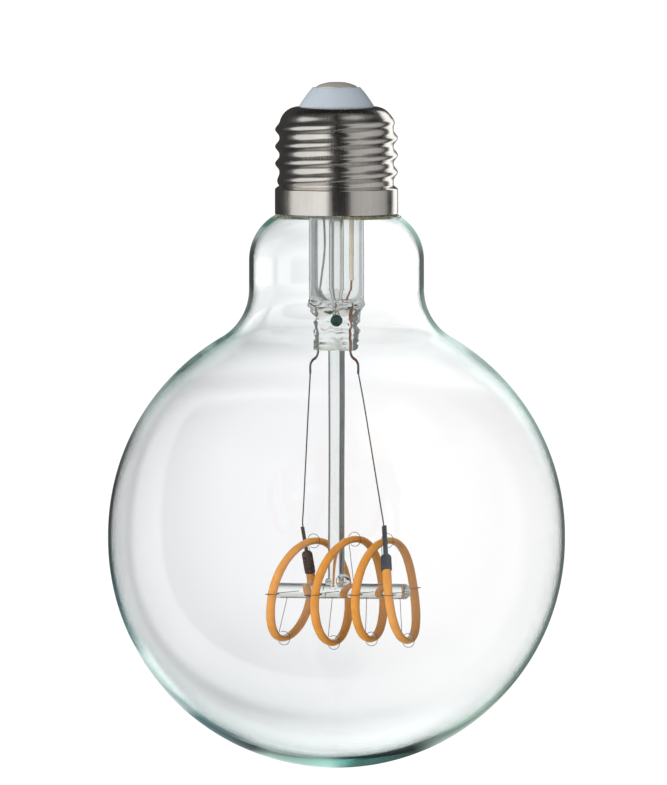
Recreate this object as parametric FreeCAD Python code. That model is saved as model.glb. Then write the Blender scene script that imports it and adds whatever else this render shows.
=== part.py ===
# Clear globe bulb: a blown glass globe on a screw cap, with a coiled LED filament on a glass stem.
# Millimetres. The origin is the tip of the centre contact and +Z points out of the cap along the lamp's axis.
# A depth is measured down from that tip.
import FreeCAD, Part
import math
import os

Vector = FreeCAD.Vector
AXIS = Vector(0, 0, 1)

# Screw cap
cap_height = 28.0
thread_major = 26.1
thread_minor = 24.3
thread_pitch = 3.629
thread_turns = 3.85
thread_start_deg = 53.0
thread_run_out = 0.35
thread_sink = 1.2
thread_foot = 0.6
thread_steps = 24
skirt_diameter = 26.2
skirt_height = 5.2
skirt_step = 0.8
shell_wall = 0.35
shell_shoulder = 4.0
# Half of the thread's section: how far from its middle, in pitches, and how high, in thread depths
thread_section = [(0.08, 1.0), (0.22, 0.64), (0.34, 0.18), (0.47, -0.07)]

# Centre contact and the insulating cone under it
contact_diameter = 8.6
contact_flat = 3.0
contact_height = 1.1
contact_edge = 0.25
contact_crown = 0.19
rivet_diameter = 2.4
rivet_tail = 0.8
insulator_height = 4.1
insulator_top = 10.4
insulator_bulge = 0.1
insulator_collar = 0.4
insulator_lip = 1.0
insulator_depth = 2.0
opening_diameter = 16.0
cap_clearance = 0.1

# Glass globe and neck
globe_diameter = 97.3
globe_band = 1.0
globe_wall = 0.55
bottom_gather = 0.6
neck_diameter = 37.2
neck_wall = 0.9
neck_straight = 6.2
neck_fillet = 12.0
shoulder_radius = 11.0
rim_hollow = 0.4
rim_hollow_above = 0.8
neck_clearance = 0.35
cement_height = 4.6
cement_gap = 0.05

# Glass stem: flare, tube, pinch, exhaust tube, centre rod and cross bar
tube_diameter = 11.7
tube_wall = 1.0
tube_depth = 46.6
pinch_width = 9.3
pinch_thickness = 4.4
pinch_depth = 57.0
pinch_taper = 2.6
jaw_taper = 3.6
pinch_edge = 0.8
exhaust_diameter = 3.2
exhaust_bore = 1.8
exhaust_rise = 6.0
blow_hole = 2.2
blow_hole_above = 6.0
rod_diameter = 3.45
bar_diameter = 3.3
bar_length = 33.2
bar_offset = 1.0
bar_drop = 11.6
bar_edge = 0.4
joint_bead = 4.4

# Filament, coiled round the cross bar. The coil is turned about the lamp's axis and tilted by hand work.
coil_yaw = -31.0
coil_tilt = 2.0
coil_radius = 10.5
coil_pitch = 9.2
coil_start = -13.0
filament_width = 2.0
filament_thickness = 1.45
filament_sides = 8
first_end_deg = 17.0
last_end_deg = 29.0
# How far the filament strays from an even coil at each quarter turn, along the bar and outwards.
# The quarters run top, back, bottom, front, and so on. The first and the last only steer the two ends.
coil_stray = [
    (3.9, 0.0), (0.4, 0.0), (-2.8, -0.1), (-1.2, 0.0),
    (0.8, 0.2), (0.1, 0.4), (0.4, 0.7), (0.6, 0.6),
    (1.8, 0.6), (-0.3, 0.2), (0.6, -0.2), (1.0, 0.0),
    (0.7, 0.35), (-1.8, 0.1), (0.5, 0.0), (-0.1, 0.0),
    (-7.1, 0.0),
]
samples_per_quarter = 3

# Filament terminals: a crimped block on the filament's end and a flat tab
terminal_width = 2.15
terminal_thickness = 1.5
terminal_chamfer = 0.5
tab_thickness = 0.3
left_block = 5.1
left_tab = 5.4
left_tab_width = 0.8
right_block = 4.0
right_tab = 6.8
right_tab_width = 1.05

# Support wires from the bar to the filament
anchor_diameter = 0.12
anchor_sides = 6
anchor_loop = 1.5
anchor_loop_deg = 300.0
anchor_root = 0.8
anchor_gather = 0.9

# Wires sealed through the pinch, and the thin wires from them to the filament
lead_diameter = 0.5
left_lead_margin = 0.75
right_lead_margin = 1.7
lead_above_board = 0.5
lead_spread = 1.65
lead_drop = 2.0
lead_tail = 2.2
lead_bend = 1.2
bend_share = 0.45
left_lead_kink_above = 12.6
left_lead_inset = 0.6
right_lead_kink_above = 3.6
sleeve_diameter = 1.0
sleeve_below_board = 0.6
sleeve_above_kink = 0.8
feed_diameter = 0.3
feed_bend = 3.0
feed_on_tab = 2.6
feed_above_tab = 0.6

# Driver inside the cap
board_thickness = 1.0
board_inset = 0.35
board_clearance = 0.35
rectifier_size = (4.7, 3.9, 1.5)
rectifier_at = (-6.2, 4.0)
chip_size = (4.9, 3.9, 1.45)
chip_at = (-6.0, -4.2)
capacitor_diameter = 6.3
capacitor_height = 8.0
capacitor_groove_depth = 0.25
capacitor_groove_width = 0.6
capacitor_groove_height = 1.4
capacitor_at = (5.9, 3.4)
fuse_diameter = 2.6
fuse_length = 6.2
fuse_waist = 0.25
fuse_cap = 1.3
fuse_lead = 0.6
fuse_lead_length = 0.9
fuse_at = (3.6, -6.2)
hook_up_diameter = 0.8
hook_up_bend = 0.9
hook_up_drop = 1.6
hook_up_rise = 0.55
shell_wire_at = 8.6
shell_wire_rise = 2.6

# Worked-out places
thread_depth = (thread_major - thread_minor) / 2
root_radius = thread_minor / 2
skirt_radius = skirt_diameter / 2
skirt_bore = skirt_radius - shell_wall
thread_bore = root_radius - shell_wall
skirt_depth = cap_height - skirt_height
shell_depth = contact_height + insulator_height
shoulder_end_depth = shell_depth + shell_shoulder
insulator_base = opening_diameter / 2 - cap_clearance
insulator_end_depth = shell_depth + shell_wall + cap_clearance + insulator_depth
rivet_end_depth = insulator_end_depth + rivet_tail

# Down from the rivet: the wire's bend, the resistor, the board, the rim of the flare, the neck's end
fuse_height = fuse_length + 2 * fuse_lead_length
board_top_depth = rivet_end_depth + hook_up_drop + hook_up_rise + fuse_height
board_depth = board_top_depth + board_thickness
flare_top_depth = board_depth
neck_end_depth = flare_top_depth + tube_wall

globe_radius = globe_diameter / 2
neck_radius = neck_diameter / 2
# The neck end goes up into the threaded part, and the cement fills what the wider skirt leaves round it
neck_end_radius = thread_bore - neck_clearance
rim_hollow_depth = cap_height - rim_hollow_above
rim_hollow_centre = neck_end_radius + rim_hollow
shoulder_centre = neck_radius - shoulder_radius
shoulder_rise = math.sqrt((shoulder_radius + rim_hollow) ** 2 - (rim_hollow_centre - shoulder_centre) ** 2)
shoulder_depth = rim_hollow_depth + shoulder_rise
neck_fillet_depth = shoulder_depth + neck_straight
globe_rise = math.sqrt((globe_radius + neck_fillet) ** 2 - (neck_radius + neck_fillet) ** 2)
upper_globe_depth = neck_fillet_depth + globe_rise
globe_depth = upper_globe_depth + globe_band / 2
lower_globe_depth = upper_globe_depth + globe_band
globe_bore = globe_radius - globe_wall
inner_globe_depth = lower_globe_depth - bottom_gather

tube_radius = tube_diameter / 2
tube_bore = tube_radius - tube_wall
exhaust_radius = exhaust_diameter / 2
flare_radius = neck_end_radius - neck_wall - tube_radius
bar_depth = globe_depth + bar_drop
board_radius = neck_end_radius - board_inset
lead_radius = lead_diameter / 2
lead_tube_x = (exhaust_radius + tube_bore) / 2
left_pinch_x = pinch_width / 2 - left_lead_margin
right_pinch_x = pinch_width / 2 - right_lead_margin
left_lead_near_x = exhaust_radius + lead_radius + left_lead_inset
left_lead_kink_depth = tube_depth - left_lead_kink_above
right_lead_kink_depth = tube_depth - right_lead_kink_above

coil_frame = FreeCAD.Placement(
    Vector(0, 0, -bar_depth),
    FreeCAD.Rotation(AXIS, coil_yaw).multiply(FreeCAD.Rotation(Vector(0, 1, 0), -coil_tilt)),
)
coil_axis = coil_frame.Rotation.multVec(Vector(1, 0, 0))


def at(radius, depth):
    """A point of a half section."""
    return Vector(radius, 0, -depth)


def line(start, end):
    return Part.LineSegment(start, end).toShape()


def arc(centre, start, end):
    """The shorter arc about a centre."""
    middle = (start - centre) + (end - centre)
    middle.normalize()
    return Part.Arc(start, centre + middle * (start - centre).Length, end).toShape()


def lines(points):
    return [line(a, b) for a, b in zip(points, points[1:])]


def turned(edges):
    """A solid of revolution about the lamp's axis."""
    return Part.Face(Part.Wire(edges)).revolve(Vector(), AXIS, 360)


def touching(centre_a, radius_a, centre_b, radius_b):
    """Where two circles that touch from outside meet."""
    return centre_a + (centre_b - centre_a) * (radius_a / (radius_a + radius_b))


def swept(path, section, binormal=None):
    sweep = Part.BRepOffsetAPI.MakePipeShell(path)
    if binormal:
        sweep.setBiNormalMode(binormal)
    sweep.add(section)
    sweep.build()
    sweep.makeSolid()
    return sweep.shape()


def bent_path(points, bend):
    """Straight runs joined by tangent arcs."""
    edges = []
    start = points[0]
    for before, corner, after in zip(points, points[1:], points[2:]):
        back = before - corner
        ahead = after - corner
        room = bend_share * min(back.Length, ahead.Length)
        half = back.getAngle(ahead) / 2
        back.normalize()
        ahead.normalize()
        reach = min(bend / math.tan(half), room)
        inward = back + ahead
        inward.normalize()
        radius = reach * math.tan(half)
        centre = corner + inward * (radius / math.sin(half))
        edges.append(line(start, corner + back * reach))
        edges.append(arc(centre, corner + back * reach, corner + ahead * reach))
        start = corner + ahead * reach
    edges.append(line(start, points[-1]))
    return Part.Wire(edges)


def wire(points, diameter, bend):
    path = bent_path(points, bend)
    ring = Part.Circle(points[0], points[1] - points[0], diameter / 2).toShape()
    return swept(path, Part.Wire([ring]))


def box(size, place, depth):
    """A block that stands on a depth, with its middle at an x and y."""
    corner = Vector(place[0] - size[0] / 2, place[1] - size[1] / 2, -depth)
    return Part.makeBox(size[0], size[1], size[2], corner)


def envelope_outline(end, hollow, shoulder, neck, fillet, globe, lower):
    """Half outline of one side of the glass, from the neck's end down to the bottom of the globe."""
    hollow_centre = at(rim_hollow_centre, rim_hollow_depth)
    shoulder_middle = at(shoulder_centre, shoulder_depth)
    rise = math.sqrt((globe + fillet) ** 2 - (neck + fillet) ** 2)
    fillet_centre = at(neck + fillet, upper_globe_depth - rise)
    globe_centre = at(0, upper_globe_depth)
    rim = touching(hollow_centre, hollow, shoulder_middle, shoulder)
    crease = touching(fillet_centre, fillet, globe_centre, globe)
    return [
        line(at(end, neck_end_depth), at(end, rim_hollow_depth)),
        arc(hollow_centre, at(end, rim_hollow_depth), rim),
        arc(shoulder_middle, rim, at(neck, shoulder_depth)),
        line(at(neck, shoulder_depth), at(neck, upper_globe_depth - rise)),
        arc(fillet_centre, at(neck, upper_globe_depth - rise), crease),
        arc(globe_centre, crease, at(globe, upper_globe_depth)),
        line(at(globe, upper_globe_depth), at(globe, lower)),
        arc(at(0, lower), at(globe, lower), at(0, lower + globe)),
    ]


def glass_globe():
    outside = envelope_outline(
        neck_end_radius, rim_hollow, shoulder_radius, neck_radius, neck_fillet, globe_radius,
        lower_globe_depth)
    inside = envelope_outline(
        neck_end_radius - neck_wall, rim_hollow + neck_wall, shoulder_radius - neck_wall,
        neck_radius - neck_wall, neck_fillet + neck_wall, globe_bore, inner_globe_depth)
    ends = [
        line(at(neck_end_radius - neck_wall, neck_end_depth), at(neck_end_radius, neck_end_depth)),
        line(at(0, inner_globe_depth + globe_bore), at(0, lower_globe_depth + globe_radius)),
    ]
    return turned(Part.__sortEdges__(outside + inside + ends))


def s_curve(start, end):
    """Two equal arcs that leave and arrive along Z."""
    middle = (start + end) * 0.5
    across = abs(start.x - end.x)
    along = abs(start.z - end.z)
    radius = (across ** 2 + along ** 2) / (4 * across)
    inward = Vector(-1, 0, 0)
    return [arc(start + inward * radius, start, middle), arc(end - inward * radius, middle, end)]


def stem_body():
    """The parts of the stem that are round: flare, tube, exhaust tube and the outline of the pinch."""
    tip_depth = flare_top_depth - exhaust_rise
    bore_top = tip_depth + exhaust_radius
    bore_end = pinch_depth - blow_hole_above
    cavity_round = (tube_bore - exhaust_radius) / 2
    cavity_depth = tube_depth - cavity_round
    flare_centre = at(tube_radius + flare_radius, neck_end_depth + flare_radius)
    flare_foot = neck_end_depth + flare_radius
    pinch_radius = pinch_width / 2
    taper_end = tube_depth + pinch_taper
    edge_centre = at(pinch_radius - pinch_edge, pinch_depth - pinch_edge)
    tip_centre = at(0, bore_top)
    edges = [arc(tip_centre, at(0, tip_depth), at(exhaust_radius, bore_top))]
    edges.append(line(at(exhaust_radius, bore_top), at(exhaust_radius, cavity_depth)))
    bottom = at(exhaust_radius + cavity_round, cavity_depth + cavity_round)
    bottom_centre = at(exhaust_radius + cavity_round, cavity_depth)
    edges.append(arc(bottom_centre, at(exhaust_radius, cavity_depth), bottom))
    edges.append(arc(bottom_centre, bottom, at(tube_bore, cavity_depth)))
    edges.append(line(at(tube_bore, cavity_depth), at(tube_bore, flare_foot)))
    edges.append(arc(flare_centre, at(tube_bore, flare_foot), at(flare_centre.x, flare_top_depth)))
    edges += lines([
        at(flare_centre.x, flare_top_depth), at(neck_end_radius, flare_top_depth),
        at(neck_end_radius, neck_end_depth), at(flare_centre.x, neck_end_depth)])
    edges.append(arc(flare_centre, at(flare_centre.x, neck_end_depth), at(tube_radius, flare_foot)))
    edges.append(line(at(tube_radius, flare_foot), at(tube_radius, tube_depth)))
    edges += s_curve(at(tube_radius, tube_depth), at(pinch_radius, taper_end))
    edges.append(line(at(pinch_radius, taper_end), at(pinch_radius, pinch_depth - pinch_edge)))
    edges.append(arc(edge_centre, at(pinch_radius, pinch_depth - pinch_edge), at(edge_centre.x, pinch_depth)))
    edges += lines([
        at(edge_centre.x, pinch_depth), at(0, pinch_depth), at(0, bore_end), at(exhaust_bore / 2, bore_end),
        at(exhaust_bore / 2, bore_top), at(0, bore_top), at(0, tip_depth)])
    return turned(edges)


def pinch_jaws():
    """What the two jaws leave when they press the soft tube flat, as a prism along X."""
    half = pinch_thickness / 2
    wide = neck_end_radius + tube_wall
    top = flare_top_depth - exhaust_rise - tube_wall
    taper_end = tube_depth + jaw_taper
    edge_centre = at(half - pinch_edge, pinch_depth - pinch_edge)
    right = lines([at(0, top), at(wide, top), at(wide, tube_depth), at(tube_radius, tube_depth)])
    right += s_curve(at(tube_radius, tube_depth), at(half, taper_end))
    right.append(line(at(half, taper_end), at(half, pinch_depth - pinch_edge)))
    right.append(arc(edge_centre, at(half, pinch_depth - pinch_edge), at(edge_centre.x, pinch_depth)))
    right += lines([at(edge_centre.x, pinch_depth), at(0, pinch_depth), at(0, top)])
    profile = Part.Face(Part.Wire(right))
    profile.rotate(Vector(), AXIS, 90)
    prism = profile.extrude(Vector(2 * wide, 0, 0))
    prism.translate(Vector(-wide, 0, 0))
    return prism.fuse(prism.mirror(Vector(), Vector(0, 1, 0)))


def on_coil(along, turn_deg, out):
    """A point in the coil's own frame: along the bar, round it from the back, and out from its axis."""
    turn = math.radians(turn_deg)
    return coil_frame.multVec(Vector(along, out * math.cos(turn), out * math.sin(turn)))


def station(quarter):
    """The place on the coil at a whole number of quarter turns: along the bar, round it and out."""
    stray_along, stray_out = coil_stray[quarter + 1]
    return coil_start + coil_pitch * quarter / 4 + stray_along, -90.0 * quarter, coil_radius + stray_out


def eased(values, share):
    """A smooth curve through the two middle values of four."""
    a, b, c, d = values
    bend = 2 * a - 5 * b + 4 * c - d
    twist = 3 * (b - c) + d - a
    return b + 0.5 * share * (c - a + share * (bend + share * twist))


def filament_point(quarter):
    """A point of the filament's middle line, at any number of quarter turns."""
    last = len(coil_stray) - 4
    first = min(max(math.floor(quarter), 0), last)
    near = [station(min(max(first + step, -1), last + 2)) for step in (-1, 0, 1, 2)]
    along = eased([place[0] for place in near], quarter - first)
    out = eased([place[2] for place in near], quarter - first)
    return on_coil(along, -90.0 * quarter, out)


def filament_line():
    quarters = len(coil_stray) - 3
    turns = [-first_end_deg / 90]
    turns += [step / samples_per_quarter for step in range(quarters * samples_per_quarter + 1)]
    turns.append(quarters + last_end_deg / 90)
    curve = Part.BSplineCurve()
    curve.interpolate([filament_point(turn) for turn in turns])
    return curve


def section_frame(point, direction):
    """The two directions of the filament's section: along the coil's axis, and outwards."""
    outward = coil_axis.cross(direction)
    outward.normalize()
    if outward.dot(point - coil_frame.Base) < 0:
        outward = outward * -1
    return coil_axis, outward


def filament_coil(curve):
    start = curve.StartPoint
    direction = curve.tangent(curve.FirstParameter)[0]
    across, outward = section_frame(start, direction)
    ring = []
    for side in range(filament_sides):
        angle = 2 * math.pi * (side + 0.5) / filament_sides
        reach = 1 / math.cos(math.pi / filament_sides)
        sideways = across * (filament_width / 2 * reach * math.cos(angle))
        ring.append(start + sideways + outward * (filament_thickness / 2 * reach * math.sin(angle)))
    section = Part.makePolygon(ring + ring[:1])
    return swept(Part.Wire([curve.toShape()]), section, coil_axis)


def plate(base, across, away, outward, outline, thickness):
    """A flat plate with an outline across and away from a base point, centred on it outwards."""
    corners = [base + across * x + away * y - outward * (thickness / 2) for x, y in outline]
    return Part.Face(Part.makePolygon(corners + corners[:1])).extrude(outward * thickness)


def terminal(base, away, block, tab, tab_width):
    across, outward = section_frame(base, away)
    half = terminal_width / 2
    shoulder = block - terminal_chamfer
    crimp = plate(base, across, away, outward, [
        (-half, 0), (half, 0), (half, shoulder), (half - terminal_chamfer, block),
        (terminal_chamfer - half, block), (-half, shoulder)], terminal_thickness)
    strip = plate(base, across, away, outward, [
        (-tab_width / 2, shoulder), (tab_width / 2, shoulder),
        (tab_width / 2, block + tab), (-tab_width / 2, block + tab)], tab_thickness)
    return crimp.fuse(strip).removeSplitter()


def feed_wire(lead_end, lead_side, base, away, block, tab):
    """From beside the tail of a lead-in wire to the outer face of a terminal's tab."""
    across, outward = section_frame(base, away)
    on_tab = base + outward * ((tab_thickness + feed_diameter) / 2)
    weld = lead_side * ((lead_diameter + feed_diameter) / 2)
    return wire([
        lead_end + weld + AXIS * lead_tail, lead_end + weld,
        on_tab + away * (block + tab + feed_above_tab), on_tab + away * (block + tab - feed_on_tab),
    ], feed_diameter, feed_bend)


def anchor(quarter):
    """A thin wire from inside the bar that ends in a loop round the filament."""
    along, turn_deg, out = station(quarter)
    root = Vector(along * anchor_gather, bar_diameter / 2 - anchor_root, 0)
    centre = Vector(along, out, 0)
    reach = centre - root
    heading = math.atan2(reach.y, reach.x) + math.asin(anchor_loop / reach.Length)
    leg = math.sqrt(reach.Length ** 2 - anchor_loop ** 2)
    touch = root + Vector(math.cos(heading), math.sin(heading), 0) * leg
    first = math.atan2(touch.y - centre.y, touch.x - centre.x)
    places = [root, touch]
    for share in (0.5, 1.0):
        angle = first - math.radians(anchor_loop_deg) * share
        places.append(centre + Vector(math.cos(angle), math.sin(angle), 0) * anchor_loop)
    root, touch, middle, end = [on_coil(place.x, turn_deg, place.y) for place in places]
    path = Part.Wire([line(root, touch), Part.Arc(touch, middle, end).toShape()])
    ring = Part.Circle(root, touch - root, anchor_diameter / 2)
    corners = [ring.value(2 * math.pi * side / anchor_sides) for side in range(anchor_sides)]
    return swept(path, Part.makePolygon(corners + corners[:1]))


def anchors():
    """The support wires by name, one at each quarter turn after the first."""
    places = ["bottom", "front", "top", "back"]
    made = {}
    for quarter in range(1, len(coil_stray) - 2):
        place = places[(quarter - 1) % 4]
        number = (quarter - 1) // 4 + 1
        made["anchor_%s_%d" % (place, number)] = anchor(quarter)
    return made


def lead_in(side, kink_x, kink_depth, pinch_x):
    """A wire from above the board, through the pinch and out to a short tail, and where it ends."""
    pinch_x = side * pinch_x
    tail_x = pinch_x + side * lead_spread
    out_depth = pinch_depth + lead_drop
    points = [
        at(side * lead_tube_x, board_top_depth - lead_above_board),
        at(side * kink_x, kink_depth),
        at(pinch_x, tube_depth),
        at(pinch_x, pinch_depth + lead_radius),
        at(tail_x, out_depth),
        at(tail_x, out_depth + lead_tail),
    ]
    return wire(points, lead_diameter, lead_bend), points[-1]


def lead_sleeve():
    top = board_depth + sleeve_below_board
    length = right_lead_kink_depth - sleeve_above_kink - top
    base = at(lead_tube_x, top + length)
    tube = Part.makeCylinder(sleeve_diameter / 2, length, base)
    return tube.cut(Part.makeCylinder(lead_radius, length, base))


def glass_stem(wires):
    body = stem_body().common(pinch_jaws())
    rod = Part.makeCylinder(rod_diameter / 2, bar_depth - pinch_depth + pinch_edge, at(0, bar_depth))
    bead = Part.makeSphere(joint_bead / 2, at(0, bar_depth - bar_diameter / 2))
    bar = Part.makeCylinder(bar_diameter / 2, bar_length)
    rims = [edge for edge in bar.Edges if edge.Closed and not edge.isSeam(bar.Faces[0])]
    bar = bar.makeFillet(bar_edge, rims)
    bar.rotate(Vector(), Vector(0, 1, 0), 90)
    bar.translate(Vector(bar_offset - bar_length / 2, 0, 0))
    bar.Placement = coil_frame.multiply(bar.Placement)
    hole_depth = pinch_depth - blow_hole_above
    hole = Part.makeCylinder(blow_hole / 2, pinch_thickness, at(0, hole_depth), Vector(0, -1, 0))
    return body.fuse([rod, bead, bar]).removeSplitter().cut([hole] + wires)


def thread_ridge():
    """The rolled thread as one ridge that sinks into the shell at both ends."""
    steps = int(thread_steps * thread_turns)
    top_depth = shoulder_end_depth - thread_depth
    turned_by = FreeCAD.Rotation(AXIS, thread_start_deg)
    points = []
    for step in range(steps + 1):
        turn = thread_turns * step / steps
        sink = max(0.0, 1 - turn / thread_run_out, 1 - (thread_turns - turn) / thread_run_out)
        radius = root_radius - thread_sink * sink * sink * (3 - 2 * sink)
        angle = -2 * math.pi * turn
        depth = top_depth + thread_pitch * turn
        points.append(turned_by.multVec(Vector(radius * math.cos(angle), radius * math.sin(angle), -depth)))
    curve = Part.BSplineCurve()
    curve.interpolate(points)
    # About one face to a turn, so that the shell's root cuts each face cleanly
    pieces = math.ceil(thread_turns)
    length = (curve.LastParameter - curve.FirstParameter) / pieces
    runs = [curve.toShape(length * piece, length * (piece + 1)) for piece in range(pieces)]
    upper = [(-away, high) for away, high in reversed(thread_section)]
    outline = [(away * thread_pitch, high * thread_depth) for away, high in upper + thread_section]
    outline += [(outline[-1][0], -thread_foot), (outline[0][0], -thread_foot)]
    corners = [points[0] + turned_by.multVec(Vector(high, 0, away)) for away, high in outline]
    return swept(Part.Wire(runs), Part.makePolygon(corners + corners[:1]), AXIS)


def shell_outline(wall):
    """Half outline of the shell from its opening down to the rim, set in by a wall."""
    centre = at(root_radius - shell_shoulder, shoulder_end_depth)
    step_depth = skirt_depth - skirt_step + wall
    return [
        arc(centre, at(centre.x, shell_depth + wall), at(root_radius - wall, shoulder_end_depth)),
    ] + lines([
        at(root_radius - wall, shoulder_end_depth), at(root_radius - wall, step_depth),
        at(skirt_radius - wall, step_depth + skirt_step), at(skirt_radius - wall, cap_height)])


def cap_shell():
    blank = turned(shell_outline(0) + lines([
        at(skirt_radius, cap_height), at(0, cap_height), at(0, shell_depth),
        at(root_radius - shell_shoulder, shell_depth)]))
    opening = opening_diameter / 2
    hollow = turned(shell_outline(shell_wall) + lines([
        at(skirt_bore, cap_height), at(0, cap_height), at(0, shell_depth), at(opening, shell_depth),
        at(opening, shell_depth + shell_wall), at(root_radius - shell_shoulder, shell_depth + shell_wall)]))
    return blank.fuse(thread_ridge()).cut(hollow)


def cap_insulator():
    """A pale cone that comes up through the shell's opening, with a lip inside that it is held by."""
    top = at(insulator_top / 2, contact_height)
    collar = at(insulator_base, shell_depth - insulator_collar)
    bulge = (top + collar) * 0.5 + Vector(1, 0, 1) * (insulator_bulge / math.sqrt(2))
    lip_depth = shell_depth + shell_wall + cap_clearance
    lip = insulator_base + insulator_lip
    hole = rivet_diameter / 2 + cap_clearance
    side = Part.Arc(top, bulge, collar).toShape()
    return turned([side] + lines([
        collar, at(insulator_base, lip_depth), at(lip, lip_depth), at(lip, insulator_end_depth),
        at(hole, insulator_end_depth), at(hole, contact_height), top]))


def centre_contact():
    """A domed button with a small flat on top and a rivet through the cone."""
    edge = at(contact_diameter / 2, contact_height - contact_edge)
    flat = at(contact_flat / 2, 0)
    crown = (edge + flat) * 0.5 + AXIS * contact_crown
    return turned([Part.Arc(flat, crown, edge).toShape()] + lines([
        edge, at(contact_diameter / 2, contact_height), at(rivet_diameter / 2, contact_height),
        at(rivet_diameter / 2, rivet_end_depth), at(0, rivet_end_depth), at(0, 0), flat]))


def capping_cement():
    inner = neck_end_radius + cement_gap
    outer = skirt_bore - cement_gap
    top = cap_height - cement_height
    centre = at(rim_hollow_centre, rim_hollow_depth)
    rim = touching(centre, rim_hollow, at(shoulder_centre, shoulder_depth), shoulder_radius)
    foot = centre + (rim - centre) * ((rim_hollow - cement_gap) / rim_hollow)
    return turned([arc(centre, at(inner, rim_hollow_depth), foot)] + lines([
        foot, Vector(outer, 0, foot.z), at(outer, top), at(inner, top), at(inner, rim_hollow_depth)]))


def driver_board(leads):
    """A round board on the rim of the flare, with holes for the exhaust tip and the two leads."""
    board = Part.makeCylinder(board_radius, board_thickness, at(0, board_depth))
    holes = [Part.makeCylinder(exhaust_radius + board_clearance, board_thickness, at(0, board_depth))]
    return board.cut(holes + leads)


def smoothing_capacitor():
    radius = capacitor_diameter / 2
    waist = radius - capacitor_groove_depth
    groove = Vector(0, 0, capacitor_groove_height)
    can = Part.makeCylinder(radius, capacitor_height)
    ring = Part.makeCylinder(radius, capacitor_groove_width, groove)
    ring = ring.cut(Part.makeCylinder(waist, capacitor_groove_width, groove))
    can = can.cut(ring)
    can.translate(Vector(capacitor_at[0], capacitor_at[1], -board_top_depth))
    return can


def fuse_resistor():
    """A small resistor that stands on the board on its own lead, thinner between its end caps."""
    radius = fuse_diameter / 2
    body = Part.makeCylinder(radius - fuse_waist, fuse_length, Vector(0, 0, fuse_lead_length))
    caps = [
        Part.makeCylinder(radius, fuse_cap, Vector(0, 0, fuse_lead_length)),
        Part.makeCylinder(radius, fuse_cap, Vector(0, 0, fuse_lead_length + fuse_length - fuse_cap)),
        Part.makeCylinder(fuse_lead / 2, fuse_height),
    ]
    made = body.fuse(caps).removeSplitter()
    made.translate(Vector(fuse_at[0], fuse_at[1], -board_top_depth))
    return made


def contact_wire():
    """From the top of the resistor to the end of the contact's rivet."""
    start = Vector(fuse_at[0], fuse_at[1], fuse_height - board_top_depth)
    end = at(0, rivet_end_depth)
    low = Vector(0, 0, -rivet_end_depth - hook_up_drop)
    over = Vector(fuse_at[0], fuse_at[1], low.z)
    return wire([start, over, low, end], hook_up_diameter, hook_up_bend)


def shell_wire():
    """From the board to the inside of the shell."""
    start = Vector(0, shell_wire_at, -board_top_depth)
    high = start + AXIS * shell_wire_rise
    reach = math.sqrt(thread_bore ** 2 - (hook_up_diameter / 2) ** 2)
    return wire([start, high, Vector(0, reach, high.z)], hook_up_diameter, hook_up_bend)


def build():
    nodes = {}
    left_lead, left_end = lead_in(-1, left_lead_near_x, left_lead_kink_depth, left_pinch_x)
    right_lead, right_end = lead_in(1, lead_tube_x, right_lead_kink_depth, right_pinch_x)
    supports = anchors()
    curve = filament_line()
    first = curve.StartPoint
    first_away = curve.tangent(curve.FirstParameter)[0] * -1
    last = curve.EndPoint
    last_away = curve.tangent(curve.LastParameter)[0]
    nodes["glass_globe"] = glass_globe()
    nodes["glass_stem"] = glass_stem([left_lead, right_lead] + list(supports.values()))
    nodes["lead_in_left"] = left_lead
    nodes["lead_in_right"] = right_lead
    nodes["lead_sleeve"] = lead_sleeve()
    nodes["feed_wire_left"] = feed_wire(left_end, Vector(0, 1, 0), first, first_away, left_block, left_tab)
    nodes["feed_wire_right"] = feed_wire(right_end, Vector(0, -1, 0), last, last_away, right_block, right_tab)
    nodes["filament_coil"] = filament_coil(curve)
    nodes["terminal_left"] = terminal(first, first_away, left_block, left_tab, left_tab_width)
    nodes["terminal_right"] = terminal(last, last_away, right_block, right_tab, right_tab_width)
    nodes.update(supports)
    nodes["cap_shell"] = cap_shell()
    nodes["cap_insulator"] = cap_insulator()
    nodes["centre_contact"] = centre_contact()
    nodes["capping_cement"] = capping_cement()
    nodes["driver_board"] = driver_board([left_lead, right_lead])
    nodes["bridge_rectifier"] = box(rectifier_size, rectifier_at, board_top_depth)
    nodes["driver_chip"] = box(chip_size, chip_at, board_top_depth)
    nodes["smoothing_capacitor"] = smoothing_capacitor()
    nodes["fuse_resistor"] = fuse_resistor()
    nodes["contact_wire"] = contact_wire()
    nodes["shell_wire"] = shell_wire()
    return nodes


os.makedirs("parts", exist_ok=True)
for name, shape in build().items():
    shape.exportStep("parts/%s.step" % name)
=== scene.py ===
# Looks of the clear globe bulb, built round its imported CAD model.
# Lengths here are millimetres until a mesh is made. A depth is measured down from the contact's tip.
import math
import random

import bpy
from mathutils import Matrix, Vector
from mathutils.noise import noise as wobble


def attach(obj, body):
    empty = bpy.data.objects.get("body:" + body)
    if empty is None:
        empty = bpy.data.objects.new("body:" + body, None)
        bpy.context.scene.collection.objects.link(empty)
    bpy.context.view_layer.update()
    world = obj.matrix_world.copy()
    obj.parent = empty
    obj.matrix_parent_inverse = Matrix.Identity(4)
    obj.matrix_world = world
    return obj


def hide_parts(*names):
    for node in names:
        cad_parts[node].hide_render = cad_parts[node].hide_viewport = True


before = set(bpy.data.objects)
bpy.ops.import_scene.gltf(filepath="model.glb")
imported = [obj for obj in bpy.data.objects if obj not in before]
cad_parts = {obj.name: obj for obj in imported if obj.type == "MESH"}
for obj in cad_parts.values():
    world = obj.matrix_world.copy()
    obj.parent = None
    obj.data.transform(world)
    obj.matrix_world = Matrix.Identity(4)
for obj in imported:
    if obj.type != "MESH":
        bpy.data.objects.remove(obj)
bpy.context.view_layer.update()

MM = 0.001
random.seed(7)

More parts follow.
